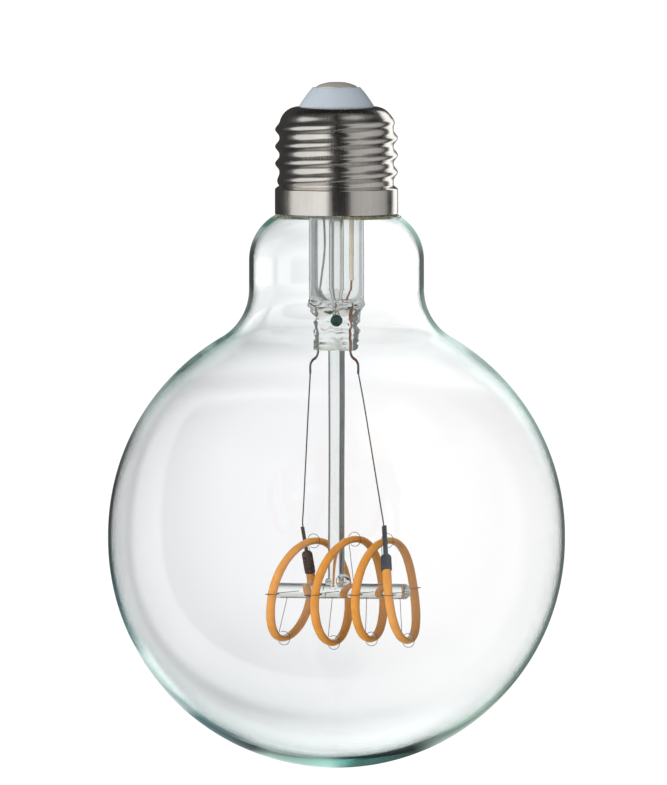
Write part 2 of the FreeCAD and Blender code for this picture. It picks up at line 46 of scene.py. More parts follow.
# Sizes shared with the CAD source
thread_pitch, thread_turns, thread_start = 3.629, 3.85, 53.0
root_radius, thread_depth, skirt_radius, cap_height = 12.15, 0.9, 13.1, 28.0
shell_depth, shell_shoulder, shell_wall, shell_hole = 5.2, 4.0, 0.35, 8.0
skirt_height, skirt_step = 5.2, 0.8
neck_end_depth, neck_end_radius, neck_wall = 20.6, 11.45, 0.9
globe_radius, globe_band, globe_wall = 48.65, 1.0, 0.55
neck_radius, neck_straight, neck_fillet = 18.6, 6.2, 12.0
shoulder_radius, rim_hollow, rim_hollow_depth = 11.0, 0.4, 27.2
tube_radius, tube_bore, tube_depth = 5.85, 4.85, 46.6
pinch_width, pinch_thickness, pinch_depth = 9.3, 4.4, 57.0
exhaust_radius, exhaust_bore = 1.6, 0.9
rod_radius, bar_radius, bar_length, bar_offset, bar_drop = 1.725, 1.65, 33.2, 1.0, 11.6
coil_yaw, coil_tilt, coil_radius, coil_pitch, coil_start = -31.0, 2.0, 10.5, 9.2, -13.0
filament_width, filament_thickness = 2.0, 1.45
first_end_deg, last_end_deg = 17.0, 29.0
coil_stray = [
    (3.9, 0.0), (0.4, 0.0), (-2.8, -0.1), (-1.2, 0.0),
    (0.8, 0.2), (0.1, 0.4), (0.4, 0.7), (0.6, 0.6),
    (1.8, 0.6), (-0.3, 0.2), (0.6, -0.2), (1.0, 0.0),
    (0.7, 0.35), (-1.8, 0.1), (0.5, 0.0), (-0.1, 0.0),
    (-7.1, 0.0),
]
lead_radius, sleeve_radius, feed_radius = 0.25, 0.5, 0.15
# Length of each terminal's block and of its tab
left_terminal, right_terminal = (5.1, 5.4), (4.0, 6.8)

# Sizes that differ from the CAD source or are not in it: thread's start, gathered glass, hole and supports
thread_top = 7.7
bottom_gather, crease_gather, crease_reach, crease_drop = 0.9, 0.35, 6.0, 1.0
blow_depth, anchor_radius, anchor_loop_deg = 51.1, 0.065, 315

# Worked-out places
hollow_x = neck_end_radius + rim_hollow
shoulder_x = neck_radius - shoulder_radius
shoulder_reach = shoulder_radius + rim_hollow
shoulder_depth = rim_hollow_depth + math.sqrt(shoulder_reach ** 2 - (hollow_x - shoulder_x) ** 2)
fillet_depth = shoulder_depth + neck_straight
globe_rise = math.sqrt((globe_radius + neck_fillet) ** 2 - (neck_radius + neck_fillet) ** 2)
upper_globe_depth = fillet_depth + globe_rise
lower_globe_depth = upper_globe_depth + globe_band
globe_depth = upper_globe_depth + globe_band / 2
bar_depth = globe_depth + bar_drop
coil_lean = Matrix.Rotation(math.radians(-coil_tilt), 3, "Y")
coil_turn = Matrix.Rotation(math.radians(coil_yaw), 3, "Z") @ coil_lean
coil_axis = coil_turn @ Vector((1, 0, 0))
coil_middle = Vector((0, 0, -bar_depth))


# Node helpers
def node(tree, kind, **values):
    made = tree.nodes.new(kind)
    for key, value in values.items():
        if key in made.inputs:
            made.inputs[key].default_value = value
        else:
            setattr(made, key, value)
    return made


def ramp(tree, stops):
    made = tree.nodes.new("ShaderNodeValToRGB")
    while len(made.color_ramp.elements) < len(stops):
        made.color_ramp.elements.new(0.5)
    for element, (place, colour) in zip(made.color_ramp.elements, stops):
        element.position = place
        element.color = (*colour, 1) if isinstance(colour, tuple) else (colour, colour, colour, 1)
    return made


def surface(name, **values):
    """A Principled material and its tree. Names with spaces are given with underscores."""
    material = bpy.data.materials.new(name)
    material.use_nodes = True
    tree = material.node_tree
    shader = tree.nodes["Principled BSDF"]
    for key, value in values.items():
        socket = shader.inputs[key.replace("_", " ")]
        socket.default_value = (*value, 1) if isinstance(value, tuple) and len(value) == 3 else value
    return material, tree, shader


def noise(tree, scale, stretch=(1, 1, 1), detail=4.0, source=None):
    """Noise in the part's own frame, its scale in cells to the millimetre."""
    where = source or tree.nodes.new("ShaderNodeTexCoord").outputs["Object"]
    mapping = tree.nodes.new("ShaderNodeMapping")
    mapping.inputs["Scale"].default_value = [1000 * scale * s for s in stretch]
    made = node(tree, "ShaderNodeTexNoise", Scale=1.0, Detail=detail)
    tree.links.new(where, mapping.inputs["Vector"])
    tree.links.new(mapping.outputs["Vector"], made.inputs["Vector"])
    return made.outputs["Fac"]


def spread(tree, factor, low, high, first=0.0, last=1.0):
    """Maps a factor to a range."""
    made = tree.nodes.new("ShaderNodeMapRange")
    made.inputs["From Min"].default_value = first
    made.inputs["From Max"].default_value = last
    made.inputs["To Min"].default_value = low
    made.inputs["To Max"].default_value = high
    tree.links.new(factor, made.inputs["Value"])
    return made.outputs["Result"]


def tint(tree, shader, factor, stops):
    made = ramp(tree, stops)
    tree.links.new(factor, made.inputs["Fac"])
    tree.links.new(made.outputs["Color"], shader.inputs["Base Color"])


def bump(tree, shader, height, distance, strength=1.0):
    """Bump with its height in millimetres."""
    made = node(tree, "ShaderNodeBump", Strength=strength, Distance=distance * MM)
    tree.links.new(height, made.inputs["Height"])
    tree.links.new(made.outputs["Normal"], shader.inputs["Normal"])


def math_node(tree, operation, first, second):
    made = node(tree, "ShaderNodeMath", operation=operation)
    for socket, value in zip(made.inputs, (first, second)):
        if isinstance(value, (int, float)):
            socket.default_value = value
        else:
            tree.links.new(value, socket)
    return made.outputs[0]


def round_place(tree, around):
    """A place on a turned piece: round it, in millimetres at a radius, and along it."""
    where = tree.nodes.new("ShaderNodeTexCoord").outputs["Object"]
    split = tree.nodes.new("ShaderNodeSeparateXYZ")
    tree.links.new(where, split.inputs[0])
    turn = math_node(tree, "ARCTAN2", split.outputs["Y"], split.outputs["X"])
    join = tree.nodes.new("ShaderNodeCombineXYZ")
    tree.links.new(math_node(tree, "MULTIPLY", turn, around * MM), join.inputs["X"])
    tree.links.new(split.outputs["Z"], join.inputs["Z"])
    return join.outputs[0]


# Mesh helpers
def at(x, depth, y=0.0):
    return Vector((x, y, -depth))


def mesh_of(name, points, faces):
    """A mesh from points in millimetres."""
    mesh = bpy.data.meshes.new(name)
    mesh.from_pydata([tuple(c * MM for c in point) for point in points], [], faces)
    mesh.update()
    return mesh


def piece(name, points, faces, material, slot, nodes, sharp_deg=None):
    """A new piece from points in millimetres that stands for some CAD nodes."""
    return dress(name, mesh_of(name, points, faces), material, nodes, sharp_deg)


def dress(name, mesh, material, nodes, sharp_deg=None):
    mesh.polygons.foreach_set("use_smooth", [True] * len(mesh.polygons))
    if sharp_deg:
        mesh.set_sharp_from_angle(angle=math.radians(sharp_deg))
    mesh.materials.clear()
    mesh.materials.append(material)
    made = bpy.data.objects.new(name, mesh)
    bpy.context.scene.collection.objects.link(made)
    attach(made, "root")
    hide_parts(*nodes)
    return made


def arc(centre, start, end, steps):
    """Points of the shorter arc about a centre, from after the start to the end."""
    first = math.atan2(start[1] - centre[1], start[0] - centre[0])
    turn = math.atan2(end[1] - centre[1], end[0] - centre[0]) - first
    turn = (turn + math.pi) % (2 * math.pi) - math.pi
    reach = math.hypot(start[0] - centre[0], start[1] - centre[1])
    angles = [first + turn * step / steps for step in range(1, steps + 1)]
    return [(centre[0] + reach * math.cos(a), centre[1] + reach * math.sin(a)) for a in angles]


def straight(start, end, steps):
    return [tuple(a + (b - a) * step / steps for a, b in zip(start, end)) for step in range(1, steps + 1)]


def lathe(outline, sides, closed=False):
    """Points and faces of a turned form. Its outline, of (radius, depth), ends on the axis or is closed."""
    points, rings, faces = [], [], []
    for radius, depth in outline:
        if radius < 1e-6:
            rings.append([len(points)])
            points.append((0, 0, -depth))
            continue
        rings.append(list(range(len(points), len(points) + sides)))
        for side in range(sides):
            angle = 2 * math.pi * side / sides
            points.append((radius * math.cos(angle), radius * math.sin(angle), -depth))
    pairs = list(zip(rings, rings[1:])) + ([(rings[-1], rings[0])] if closed else [])
    for upper, lower in pairs:
        faces += bridge(upper, lower)
    return points, faces


def bridge(upper, lower):
    count = max(len(upper), len(lower))
    made = []
    for side in range(count):
        after = (side + 1) % count
        if len(upper) == 1:
            made.append((upper[0], lower[side], lower[after]))
        elif len(lower) == 1:
            made.append((upper[side], lower[0], upper[after]))
        else:
            made.append((upper[side], lower[side], lower[after], upper[after]))
    return made


def loft(rings):
    """Points and faces of a closed form through rings with equal numbers of points."""
    points, faces, rows = [], [], []
    for ring in rings:
        rows.append(list(range(len(points), len(points) + len(ring))))
        points += [tuple(point) for point in ring]
    for upper, lower in zip(rows, rows[1:]):
        faces += bridge(upper, lower)
    for row, flip in ((rows[0], True), (rows[-1], False)):
        middle = sum((Vector(points[i]) for i in row), Vector()) / len(row)
        points.append(tuple(middle))
        faces += bridge([len(points) - 1], row) if flip else bridge(row, [len(points) - 1])
    return points, faces


def eased(values, share):
    """A value between the middle two of four, on a smooth curve through all."""
    a, b, c, d = values
    return b + 0.5 * share * (c - a + share * (2 * a - 5 * b + 4 * c - d + share * (3 * (b - c) + d - a)))


def smooth_line(corners, steps):
    """A smooth line through corners, with a number of steps between each two."""
    ends = [corners[0] * 2 - corners[1]] + corners + [corners[-1] * 2 - corners[-2]]
    made = []
    for four in zip(ends, ends[1:], ends[2:], ends[3:]):
        made += [eased(four, step / steps) for step in range(steps)]
    made.append(corners[-1])
    return made


def sweep(line, sides, section, up=None):
    """Points and faces along a line. The section gives a point across and up, from a share and an angle."""
    rings = []
    across = None
    for place, point in enumerate(line):
        ahead = (line[min(place + 1, len(line) - 1)] - line[max(place - 1, 0)]).normalized()
        if up:
            across = up(point, ahead)
        elif across is None:
            across = ahead.orthogonal().normalized()
        across = (across - ahead * across.dot(ahead)).normalized()
        high = across.cross(ahead)
        share = place / (len(line) - 1)
        ring = []
        for side in range(sides):
            x, y = section(share, 2 * math.pi * side / sides)
            ring.append(point + across * x + high * y)
        rings.append(ring)
    return loft(rings)


def tube(line, radius, sides=12):
    """A round wire whose radius may change along it."""
    size = radius if callable(radius) else lambda share: radius
    return sweep(line, sides, lambda share, angle: (
        size(share) * math.cos(angle), size(share) * math.sin(angle)))


def rounded_box(half_x, half_y, power, sides):
    """Points round a box with soft corners, squarer with a higher power."""
    made = []
    for side in range(sides):
        angle = 2 * math.pi * side / sides
        c, s = math.cos(angle), math.sin(angle)
        reach = (abs(c / half_x) ** power + abs(s / half_y) ** power) ** (-1 / power)
        made.append((reach * c, reach * s))
    return made


def joined(parts):
    """Several sets of points and faces as one."""
    points, faces = [], []
    for more, added in parts:
        faces += [tuple(i + len(points) for i in face) for face in added]
        points += list(more)
    return points, faces


def combined(base, steps):
    """The mesh of a form after it is joined with or cut by others."""
    def solid(points, faces):
        made = bpy.data.objects.new("work", mesh_of("work", points, faces))
        bpy.context.scene.collection.objects.link(made)
        return made

    body = solid(*base)
    tools = []
    for operation, form in steps:
        tool = solid(*form)
        tools.append(tool)
        change = body.modifiers.new("step", "BOOLEAN")
        change.operation = operation
        change.solver = "MANIFOLD"
        change.object = tool
    bpy.context.view_layer.update()
    mesh = bpy.data.meshes.new_from_object(body.evaluated_get(bpy.context.evaluated_depsgraph_get()))
    for made in [body] + tools:
        old = made.data
        bpy.data.objects.remove(made)
        bpy.data.meshes.remove(old)
    return mesh


# Materials
def glass(name, colour, density, wave):
    """Clear glass. The wave is a bump's scale and height, and the colour shows only in thick glass."""
    material, tree, shader = surface(
        name, Base_Color=(1, 1, 1), Roughness=0.0, IOR=1.5, Transmission_Weight=1.0)
    bump(tree, shader, noise(tree, wave[0], detail=1.0), wave[1])
    absorb = tree.nodes.new("ShaderNodeVolumeAbsorption")
    absorb.inputs["Color"].default_value = (*colour, 1)
    absorb.inputs["Density"].default_value = density
    tree.links.new(absorb.outputs[0], tree.nodes["Material Output"].inputs["Volume"])
    return material


def nickel(name, colour, smooth, rough, around, metal=1.0):
    material, tree, shader = surface(name, Base_Color=colour, Metallic=metal, Roughness=rough)
    place = round_place(tree, around)
    streaks = noise(tree, 5.0, (1, 1, 0.02), 3.0, place)
    clouds = noise(tree, 0.25, detail=3.0)
    mixed = math_node(
        tree, "ADD", math_node(tree, "MULTIPLY", streaks, 0.6), math_node(tree, "MULTIPLY", clouds, 0.4))
    tree.links.new(spread(tree, mixed, smooth, rough, 0.3, 0.7), shader.inputs["Roughness"])
    dull = tuple(0.86 * c for c in colour)
    tint(tree, shader, mixed, [(0.32, dull), (0.62, colour)])
    bump(tree, shader, streaks, 0.008, 0.6)
    return material


envelope_glass = glass("envelope_glass", (0.50, 0.90, 0.85), 60.0, (0.03, 0.005))
stem_glass = glass("stem_glass", (0.70, 0.90, 0.88), 12.0, (0.12, 0.03))
cap_nickel = nickel("cap_nickel", (0.70, 0.67, 0.63), 0.14, 0.30, 12.5)
contact_nickel = nickel("contact_nickel", (0.60, 0.57, 0.51), 0.3, 0.5, 4.0, 0.5)

insulator_white, tree, shader = surface("insulator_white", Roughness=0.38, Specular_IOR_Level=0.5)
tint(tree, shader, noise(tree, 0.4, detail=5.0), [(0.3, (0.425, 0.482, 0.534)), (0.7, (0.455, 0.513, 0.565))])
bump(tree, shader, noise(tree, 3.0), 0.02, 0.3)

cement, tree, shader = surface("cement", Roughness=0.9)
tint(tree, shader, noise(tree, 1.2, detail=8.0), [
    (0.3, (0.10, 0.09, 0.05)), (0.55, (0.26, 0.24, 0.15)), (0.75, (0.5, 0.47, 0.36))])
bump(tree, shader, noise(tree, 3.5, detail=8.0), 0.25)

filament_amber, tree, shader = surface("filament_amber", Roughness=0.18, Specular_IOR_Level=0.5)
shader.inputs["Coat Weight"].default_value = 0.12
shader.inputs["Coat Roughness"].default_value = 0.3
amber = ramp(tree, [(0.25, (0.70, 0.275, 0.042)), (0.5, (0.77, 0.31, 0.05)), (0.75, (0.82, 0.34, 0.06))])
tree.links.new(noise(tree, 0.5, detail=6.0), amber.inputs["Fac"])
# Painted shade: the side of the filament that faces the bar is made browner and darker, in place of the shade
# it lies in
sides = node(tree, "ShaderNodeAttribute", attribute_name="inner")
inner_shade = node(tree, "ShaderNodeMix", data_type="RGBA")
tree.links.new(spread(tree, sides.outputs["Fac"], 0.0, 1.0, 0.35, 0.75), inner_shade.inputs["Factor"])
tree.links.new(amber.outputs["Color"], inner_shade.inputs["A"])
inner_shade.inputs["B"].default_value = (0.47, 0.20, 0.045, 1)
tree.links.new(inner_shade.outputs["Result"], shader.inputs["Base Color"])
bump(tree, shader, noise(tree, 1.4, detail=3.0), 0.08, 0.6)


def plain_metal(name, dark, light, smooth, rough, metal=1.0):
    material, tree, shader = surface(name, Metallic=metal)
    grain = noise(tree, 2.5, detail=6.0)
    tint(tree, shader, grain, [(0.3, dark), (0.7, light)])
    tree.links.new(spread(tree, grain, smooth, rough, 0.3, 0.7), shader.inputs["Roughness"])
    bump(tree, shader, noise(tree, 9.0), 0.01, 0.5)
    return material


terminal_dark = plain_metal("terminal_dark", (0.012, 0.009, 0.007), (0.10, 0.034, 0.014), 0.15, 0.5, 0.3)
terminal_grey = plain_metal("terminal_grey", (0.055, 0.065, 0.08), (0.10, 0.115, 0.135), 0.4, 0.65, 0.3)
anchor_wire = plain_metal("anchor_wire", (0.10, 0.07, 0.06), (0.25, 0.20, 0.18), 0.3, 0.5)
lead_wire = plain_metal("lead_wire", (0.30, 0.15, 0.11), (0.46, 0.27, 0.20), 0.3, 0.55)
grey_lead = plain_metal("grey_lead", (0.30, 0.29, 0.28), (0.45, 0.44, 0.42), 0.3, 0.5)
feed_wire = plain_metal("feed_wire", (0.24, 0.24, 0.24), (0.42, 0.42, 0.42), 0.25, 0.45)


def plain_plastic(name, dark, light, rough, grain, height):
    material, tree, shader = surface(name, Roughness=rough)
    tint(tree, shader, noise(tree, grain, detail=5.0), [(0.3, dark), (0.7, light)])
    bump(tree, shader, noise(tree, grain * 3), height, 0.5)
    return material


sleeve_beige = plain_plastic("sleeve_beige", (0.66, 0.54, 0.43), (0.82, 0.72, 0.60), 0.8, 3.0, 0.06)
board_green = plain_plastic("board_green", (0.02, 0.10, 0.04), (0.03, 0.16, 0.07), 0.35, 0.8, 0.02)
chip_black = plain_plastic("chip_black", (0.012, 0.012, 0.012), (0.03, 0.03, 0.03), 0.55, 2.0, 0.02)
capacitor_sleeve = plain_plastic("capacitor_sleeve", (0.01, 0.012, 0.03), (0.02, 0.025, 0.05), 0.3, 0.5, 0.02)
resistor_body = plain_plastic("resistor_body", (0.20, 0.36, 0.42), (0.28, 0.46, 0.52), 0.4, 1.0, 0.03)
seal_green = plain_plastic("seal_green", (0.022, 0.05, 0.043), (0.04, 0.08, 0.07), 0.2, 0.8, 0.05)
hook_up_red = plain_plastic("hook_up_red", (0.45, 0.03, 0.02), (0.6, 0.06, 0.04), 0.45, 1.0, 0.02)


# Glass globe
def envelope(end, hollow, shoulder, neck, fillet, globe):
    hollow_centre = (hollow_x, rim_hollow_depth)
    shoulder_centre = (shoulder_x, shoulder_depth)
    rise = math.sqrt((globe + fillet) ** 2 - (neck + fillet) ** 2)
    fillet_centre = (neck + fillet, upper_globe_depth - rise)
    globe_centre = (0.0, upper_globe_depth)

    def touching(a, reach_a, b, reach_b):
        share = reach_a / (reach_a + reach_b)
        return tuple(p + (q - p) * share for p, q in zip(a, b))

    rim = touching(hollow_centre, hollow, shoulder_centre, shoulder)
    crease = touching(fillet_centre, fillet, globe_centre, globe)
    start = (end, neck_end_depth)
    made = [start] + straight(start, (end, rim_hollow_depth), 6)
    made += arc(hollow_centre, made[-1], rim, 8)
    made += arc(shoulder_centre, rim, (neck, shoulder_depth), 20)
    made += straight(made[-1], (neck, upper_globe_depth - rise), 8)
    made += arc(fillet_centre, made[-1], crease, 22)
    made += arc(globe_centre, crease, (globe, upper_globe_depth), 50)
    made += straight(made[-1], (globe, lower_globe_depth), 2)
    return made + arc((0.0, lower_globe_depth), made[-1], (0.0, lower_globe_depth + globe), 66)


outside = envelope(neck_end_radius, rim_hollow, shoulder_radius, neck_radius, neck_fillet, globe_radius)
inside = envelope(
    neck_end_radius - neck_wall, rim_hollow + neck_wall, shoulder_radius - neck_wall, neck_radius - neck_wall,
    neck_fillet + neck_wall, globe_radius - globe_wall)
crease_depth = upper_globe_depth - globe_radius * globe_rise / (globe_radius + neck_fillet)


def thickened(outline):
    """The inner side of the wall, moved in where blown glass gathers: under the neck and at the bottom."""
    made = []
    for radius, depth in outline:
        extra = crease_gather * math.exp(-((depth - crease_depth - crease_drop) / crease_reach) ** 2)
        fall = max(depth - lower_globe_depth, 0.0) / globe_radius
        extra += bottom_gather * fall ** 3
        reach = math.hypot(radius, depth - globe_depth)
        made.append((radius * (1 - extra / reach), globe_depth + (depth - globe_depth) * (1 - extra / reach)))
    return made


wall_outline = thickened(inside)[::-1] + outside
piece("envelope", *lathe(wall_outline, 256), envelope_glass, "envelope_glass", ["glass_globe"], 50)


# Screw cap
def smoothstep(low, high, value):
    share = min(max((value - low) / (high - low), 0.0), 1.0)
    return share * share * (3 - 2 * share)


def thread_height(depth, angle_deg):
    """How far the rolled thread stands out of the root, nil where it has run out."""
    base = (thread_start - angle_deg) / 360
    turn = base + round((depth - thread_top) / thread_pitch - base)
    away = (depth - thread_top) / thread_pitch - turn
    fade = smoothstep(0.0, 0.4, turn) * smoothstep(0.0, 0.4, thread_turns - turn)
    return fade * thread_depth * (0.5 + 0.5 * math.cos(2 * math.pi * away)) ** 1.25


def cap_rows():
    """The shell's outline as (radius, depth), and how many of its rows are on the outside."""
    step_end = cap_height - skirt_height
    root_end = step_end - skirt_step
    step_start = root_end - 0.2
    corner, shoulder_end = root_radius - shell_shoulder, shell_depth + shell_shoulder
    edge = shell_hole + 0.15
    rows = [(shell_hole, shell_depth + 0.12), (shell_hole + 0.05, shell_depth + 0.04), (edge, shell_depth)]
    rows += straight((edge, shell_depth), (corner, shell_depth), 3)
    rows += arc((corner, shoulder_end), (corner, shell_depth), (root_radius, shoulder_end), 16)
    rows += straight((root_radius, shoulder_end), (root_radius, step_start), 118)
    for step in range(1, 11):
        share = step / 10
        lift = smoothstep(0.0, 1.0, share) * (skirt_radius - root_radius)
        rows.append((root_radius + lift, step_start + share * (step_end - step_start)))
    rows += straight((skirt_radius, step_end), (skirt_radius, cap_height - 0.2), 8)
    half, skirt_bore, root_bore = shell_wall / 2, skirt_radius - shell_wall, root_radius - shell_wall
    rim, rim_tip = (skirt_radius - half, cap_height - half), (skirt_radius - half, cap_height)
    rows += arc(rim, (skirt_radius, cap_height - half), rim_tip, 5)
    outer = len(rows)
    rows += arc(rim, rim_tip, (skirt_bore, cap_height - half), 5)
    rows += [(skirt_bore, step_end + shell_wall), (root_bore, root_end + shell_wall)]
    rows += [(root_bore, shoulder_end)]
    rows += arc((corner, shoulder_end), rows[-1], (corner, shell_depth + shell_wall), 10)
    rows += [(shell_hole, shell_depth + shell_wall)]
    return rows, outer


def cap_shell(sides):
    rows, outer = cap_rows()
    points, faces, rings = [], [], []
    for place, (radius, depth) in enumerate(rows):
        rings.append(list(range(len(points), len(points) + sides)))
        for side in range(sides):
            angle = 2 * math.pi * side / sides
            threaded = place < outer and radius <= root_radius
            lift = thread_height(depth, math.degrees(angle)) if threaded else 0.0
            lift *= smoothstep(root_radius - 1.2, root_radius, radius)
            points.append(((radius + lift) * math.cos(angle), (radius + lift) * math.sin(angle), -depth))
    for upper, lower in list(zip(rings, rings[1:])) + [(rings[-1], rings[0])]:
        faces += bridge(upper, lower)
    return points, faces


cap = piece("cap", *cap_shell(288), cap_nickel, "cap_nickel", ["cap_shell"], 55)

# Insulating cone, centre contact and cement
pin_hole, cone_top, cone_bottom = 1.3, 1.1, 7.65
cone = [(pin_hole, cone_bottom), (pin_hole, cone_top)] + straight((pin_hole, cone_top), (4.95, cone_top), 4)
cone += arc((4.95, 1.35), (4.95, cone_top), (5.16, 1.2), 4)
for step in range(1, 17):
    share = step / 16
    bulge = 0.1 * math.sin(math.pi * share)
    cone.append((5.16 + share * 2.58 + bulge * 0.76, 1.2 + share * 3.5 - bulge * 0.65))
cone += [(7.86, 4.86), (7.9, 5.0), (7.9, 5.65), (8.9, 5.65), (8.9, cone_bottom)]
piece("cone", *lathe(cone, 128, True), insulator_white, "insulator_white", ["cap_insulator"], 50)

flat_radius, dome_radius, dome_depth, pin_radius, pin_end = 1.5, 4.2, 0.85, 1.2, 8.45
button = [(0, 0), (flat_radius, 0)]
for step in range(1, 13):
    share = step / 12
    slope = 0.55 * share + 0.45 * share ** 3
    button.append((flat_radius + (dome_radius - flat_radius) * share, dome_depth * slope))
button += arc((dome_radius, 0.95), (dome_radius, dome_depth), (4.3, 0.95), 4)
button += [(4.3, cone_top), (pin_radius, cone_top), (pin_radius, pin_end), (0, pin_end)]
button_piece = piece("button", *lathe(button, 96), contact_nickel, "contact_nickel", ["centre_contact"], 50)


def crumb(centre, size):
    """A small lump, uneven all round."""
    points, faces = lathe([(math.sin(math.pi * k / 6), -math.cos(math.pi * k / 6)) for k in range(7)], 8)
    lumpy = [size * random.uniform(0.7, 1.2) for point in points]
    return [centre + Vector(point) * reach for point, reach in zip(points, lumpy)], faces


def on_glass(depth):
    """The radius of the outer side of the glass at a depth near the cap."""
    for (radius, above), (next_radius, below) in zip(outside, outside[1:]):
        if above <= depth < below:
            return radius + (next_radius - radius) * (depth - above) / (below - above)
    return shoulder_radius


cement_top, cement_end, cement_inner, cement_outer = 23.4, 27.8, 11.5, 12.7


def cement_bead(first, last, low):
    """Cement pressed out on the glass under the rim, between two angles."""
    rings = []
    for step in range(61):
        share = step / 60
        ends = smoothstep(0, 0.12, share) * (1 - smoothstep(0.88, 1, share))
        bottom = cap_height + low * ends * random.uniform(0.88, 1.12)
        depths = [bottom + (cement_end - bottom) * k / 4 for k in range(5)]
        lifts = (0.03, 0.13, 0.17, 0.14, 0.08)
        outer = [(on_glass(depth) + lift, depth) for depth, lift in zip(depths, lifts)]
        inner = [(on_glass(depth) - 0.05, depth) for depth in depths[::-1]]
        front = math.radians(first + (last - first) * share)
        c, s = math.cos(front), math.sin(front)
        rings.append([at(r * s, depth, -r * c) for r, depth in outer + inner])
    return loft(rings)


def cement_ring():
    """A ring that fills the gap at the skirt, with beads on the glass under the rim, and crumbs."""
    outline = [
        (cement_inner, cement_top), (cement_outer, cement_top), (cement_outer, 27.6), (12.68, 27.7),
        (12.55, cement_end), (12.3, cement_end), (11.9, 27.7), (11.55, 27.4), (cement_inner, 27.0)]
    lumps = [cement_bead(6, 64, 0.72), cement_bead(64, 88, 0.3), cement_bead(-80, -62, 0.3)]
    for place in range(34):
        front = math.radians(random.uniform(-84, -26) if place < 26 else random.uniform(60, 88))
        depth = random.uniform(28.1, 28.75)
        spot = Vector((math.sin(front), -math.cos(front), 0)) * (on_glass(depth) + 0.04)
        lumps.append(crumb(spot + Vector((0, 0, -depth)), random.uniform(0.08, 0.2)))
    return joined([lathe(outline, 240, True)] + lumps)


piece("cement_fill", *cement_ring(), cement, "cement", ["capping_cement"], 40)


# Glass stem
def oblong(half_x, half_y, power, depth, sides=64):
    return [at(x, depth, y) for x, y in rounded_box(half_x, half_y, power, sides)]


